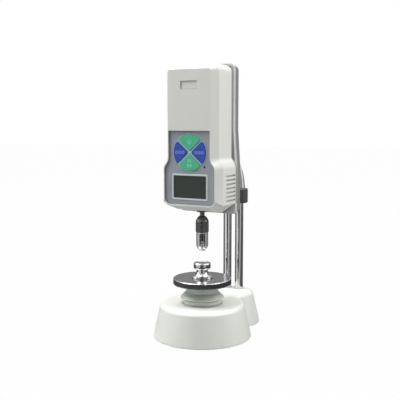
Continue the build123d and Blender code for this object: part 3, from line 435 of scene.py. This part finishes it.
def screw_thread():
    """The lifting screw with its thread cut, and the keyway down one side."""
    low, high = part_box("lift_screw")
    outer = (high.x - low.x) / 2
    pitch = 2.0 * mm
    depth = 0.75 * mm
    key_flat = outer - 1.3 * mm
    key_half = 1.55 * mm
    key_top = 42.1 * mm
    lead_in = 1.2 * mm
    lead_in_depth = 0.8 * mm
    around = 72
    rise = 0.2 * mm
    rings = int((high.z - low.z) / rise)
    shape = bmesh.new()
    rows = []
    for i in range(rings + 1):
        z = low.z + (high.z - low.z) * i / rings
        row = []
        for k in range(around):
            turn = 2 * pi * k / around
            phase = (z / pitch - k / around) % 1.0
            cut = depth * min(1.0, max(0.0, 1.9 - 4.2 * abs(phase - 0.5)))
            taper = min(1.0, (z - low.z) / lead_in)
            radius = outer - cut - lead_in_depth * (1 - taper)
            x = radius * cos(turn)
            y = radius * sin(turn)
            if z < key_top and abs(y) < key_half:
                x = min(x, key_flat)
            row.append(shape.verts.new((x, y + axis_y, z)))
        rows.append(row)
    for below, above in zip(rows, rows[1:]):
        for k in range(around):
            after = (k + 1) % around
            shape.faces.new((below[k], below[after], above[after], above[k]))
    shape.faces.new(list(reversed(rows[0])))
    shape.faces.new(rows[-1])
    mesh = finished_mesh(shape, "lift_screw_look", "steel")
    mesh.shade_smooth()
    mesh.set_sharp_from_angle(angle=radians(40))
    added("lift_screw_look", mesh, "lift_screw")


# Printed marks on the keys

def ring(x, z, outer, inner, steps=28):
    """A flat ring, as short four-sided pieces."""
    pieces = []
    for i in range(steps):
        first = 2 * pi * i / steps
        second = 2 * pi * (i + 1) / steps
        pieces.append([
            (x + outer * cos(first), z + outer * sin(first)),
            (x + outer * cos(second), z + outer * sin(second)),
            (x + inner * cos(second), z + inner * sin(second)),
            (x + inner * cos(first), z + inner * sin(first)),
        ])
    return pieces


def bar(x0, z0, x1, z1):
    """A flat bar between two corners."""
    return [[(x0, z0), (x1, z0), (x1, z1), (x0, z1)]]


def key_mark(name, node_name, finish, shapes):
    """Thin raised shapes, drawn in (x, z) millimetres on the face of one key."""
    face_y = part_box(node_name)[0].y
    front_y = face_y - 0.04 * mm
    back_y = face_y + 0.03 * mm
    shape = bmesh.new()
    for points in shapes:
        front = [shape.verts.new((x * mm, front_y, z * mm)) for x, z in points]
        back = [shape.verts.new((x * mm, back_y, z * mm)) for x, z in points]
        shape.faces.new(front)
        for i in range(len(points)):
            after = (i + 1) % len(points)
            shape.faces.new((front[i], back[i], back[after], front[after]))
    bmesh.ops.recalc_face_normals(shape, faces=shape.faces)
    added(name, finished_mesh(shape, name, finish), node_name, replaced=False)


def key_marks():
    ring_pitch = 4.0
    side_key_x = 11.7
    side_key_z = 207.4
    for name, centre in (("key_left", -side_key_x), ("key_right", side_key_x)):
        shapes = []
        for i in (-1, 0, 1):
            shapes += ring(centre + i * ring_pitch, side_key_z, 1.8, 0.8)
        key_mark(name + "_mark", name, "mark_blue", shapes)
    key_mark("key_top_mark", "key_top", "mark_green",
             ring(0.0, 218.6, 2.5, 1.3) + bar(-0.5, 218.8, 0.5, 222.2))
    key_mark("key_bottom_mark", "key_bottom", "mark_green",
             bar(-2.3, 198.8, 2.3, 200.1) + bar(-2.3, 196.9, 2.3, 198.0)
             + bar(-2.5, 191.6, -0.5, 195.2) + bar(0.5, 191.6, 2.5, 195.2))


rebuild_pieces()
rear_corners()
screw_thread()
key_marks()


# Studio

def camera():
    data = bpy.data.cameras.new("camera")
    data.lens = camera_lens
    data.sensor_width = sensor_width
    data.clip_start = 0.01
    made = bpy.data.objects.new("camera", data)
    made.location = camera_place
    made.rotation_euler = Euler([radians(a) for a in camera_turn])
    bpy.context.collection.objects.link(made)
    bpy.context.scene.camera = made


def place_round(azimuth, elevation, distance):
    """A point round the object; azimuth 0 is in front of it and 90 on its right."""
    turn = radians(azimuth)
    flat = distance * cos(radians(elevation))
    return Vector((flat * sin(turn), -flat * cos(turn), middle.z + distance * sin(radians(elevation))))


def area_light(name, place, size, power):
    """A rectangular light that faces the object's middle."""
    data = bpy.data.lights.new(name, "AREA")
    data.shape = "RECTANGLE"
    data.size, data.size_y = size
    data.energy = power
    made = bpy.data.objects.new(name, data)
    made.location = place
    made.rotation_euler = (middle - Vector(place)).to_track_quat("-Z", "Y").to_euler()
    bpy.context.collection.objects.link(made)


def feed(tree, value, socket):
    """A socket gets a plain number or another node's output."""
    if isinstance(value, float):
        socket.default_value = value
    else:
        tree.links.new(value, socket)


def joined(tree, operation, first, second=0.0):
    """The result of one arithmetic step."""
    made = node(tree, "ShaderNodeMath", operation=operation)
    feed(tree, first, made.inputs[0])
    feed(tree, second, made.inputs[1])
    return made.outputs[0]


def reflected_room(tree, direction):
    """What polished metal sees: light and dark upright bands, by bearing from the camera's side."""
    parts = node(tree, "ShaderNodeSeparateXYZ")
    tree.links.new(direction, parts.inputs[0])
    ahead = joined(tree, "MULTIPLY", parts.outputs["Y"], -1.0)
    bearing = joined(tree, "ARCTAN2", parts.outputs["X"], ahead)
    turned = joined(tree, "ADD", bearing, pi - radians(view_azimuth) + 2 * pi)
    whole = joined(tree, "FRACT", joined(tree, "DIVIDE", turned, 2 * pi))
    ramp = node(tree, "ShaderNodeValToRGB")
    tree.links.new(whole, ramp.inputs["Fac"])
    stops = ramp.color_ramp.elements
    while len(stops) < len(room_bands):
        stops.new(1.0)
    for stop, (degrees_round, level) in zip(stops, room_bands):
        stop.position = (degrees_round + 180) / 360
        stop.color = (level, level, level, 1)
    return ramp.outputs["Color"]


def lit_by_ray(tree, seen, bounced, reflected):
    """One strength for rays from the camera or through glass, one for bounced light, one for metal."""
    path = node(tree, "ShaderNodeLightPath")
    direct = joined(tree, "MAXIMUM", path.outputs["Is Camera Ray"], path.outputs["Is Transmission Ray"])
    base = between(tree, direct, bounced, seen, 0.0, 1.0)
    mix = node(tree, "ShaderNodeMix", data_type="FLOAT")
    feed(tree, path.outputs["Is Glossy Ray"], mix.inputs["Factor"])
    feed(tree, base, mix.inputs["A"])
    feed(tree, reflected, mix.inputs["B"])
    return mix.outputs["Result"]


def studio_world(level):
    """White for the camera, soft for bounced light and banded for polished metal."""
    world = bpy.data.worlds.new("studio")
    bpy.context.scene.world = world
    world.use_nodes = True
    tree = world.node_tree
    background = tree.nodes["Background"]
    background.inputs["Color"].default_value = (1, 1, 1, 1)
    direction = node(tree, "ShaderNodeTexCoord").outputs["Generated"]
    height = node(tree, "ShaderNodeSeparateXYZ")
    tree.links.new(direction, height.inputs[0])
    near_horizon, near_top = 0.12, 0.6
    dim, bright = 0.04, 0.9
    overhead = between(tree, height.outputs["Z"], dim, bright, near_horizon, near_top)
    reflected = joined(tree, "MAXIMUM", overhead, reflected_room(tree, direction))
    tree.links.new(lit_by_ray(tree, 1.0, level, reflected), background.inputs["Strength"])


def floor(bounce, glow_share):
    """A white ground that shows as the page's white and reflects as the studio."""
    half = 6.0
    mesh = bpy.data.meshes.new("floor")
    corners = [(-half, -half, 0), (half, -half, 0), (half, half, 0), (-half, half, 0)]
    mesh.from_pydata(corners, [], [(0, 1, 2, 3)])
    made = bpy.data.objects.new("floor", mesh)
    bpy.context.collection.objects.link(made)
    material = bpy.data.materials.new("floor_white")
    material.use_nodes = True
    tree = material.node_tree
    shader = tree.nodes["Principled BSDF"]
    shader.inputs["Base Color"].default_value = (bounce, bounce, bounce, 1)
    shader.inputs["Roughness"].default_value = 0.9
    place = node(tree, "ShaderNodeNewGeometry").outputs["Position"]
    glow = node(tree, "ShaderNodeEmission", Color=(1, 1, 1, 1))
    tree.links.new(lit_by_ray(tree, 1.0, 0.0, reflected_room(tree, place)), glow.inputs["Strength"])
    mix = node(tree, "ShaderNodeMixShader")
    tree.links.new(lit_by_ray(tree, glow_share, 0.0, 1.0), mix.inputs["Fac"])
    tree.links.new(shader.outputs[0], mix.inputs[1])
    tree.links.new(glow.outputs[0], mix.inputs[2])
    tree.links.new(mix.outputs[0], tree.nodes["Material Output"].inputs["Surface"])
    mesh.materials.append(material)


middle = Vector((0, 0, 0.15))
view_azimuth = camera_turn[2]

# Bearing from the camera's side in degrees, and how bright metal sees the room there
room_bands = (
    (-180, 0.3), (-150, 0.12), (-92, 0.15), (-78, 0.95), (-32, 0.9), (-20, 0.08),
    (8, 0.08), (20, 0.62), (42, 0.62), (54, 0.08), (140, 0.16), (170, 0.3),
)

# How much the surroundings light the object, and how much the floor bounces and glows
world_level = 0.12
floor_bounce = 0.3
floor_glow_share = 0.985

# How far the lights stand from the object's middle
light_distance = 1.4

# Each light: name, azimuth and elevation in degrees, width and height in metres, power in watts
lights = (
    ("left_high_light", -60, 60, (1.1, 1.2), 23.5),
    ("right_high_light", 100, 60, (1.1, 1.2), 15.5),
    ("left_low_light", -65, 20, (1.1, 1.2), 5.5),
    ("right_low_light", 110, 18, (1.1, 1.2), 6.3),
    ("back_light", 200, 55, (1.2, 1.2), 6.0),
)

camera()
studio_world(world_level)
floor(floor_bounce, floor_glow_share)
for light_name, azimuth, elevation, size, power in lights:
    area_light(light_name, place_round(azimuth, elevation, light_distance), size, power)

bpy.context.scene.view_settings.view_transform = "Standard"
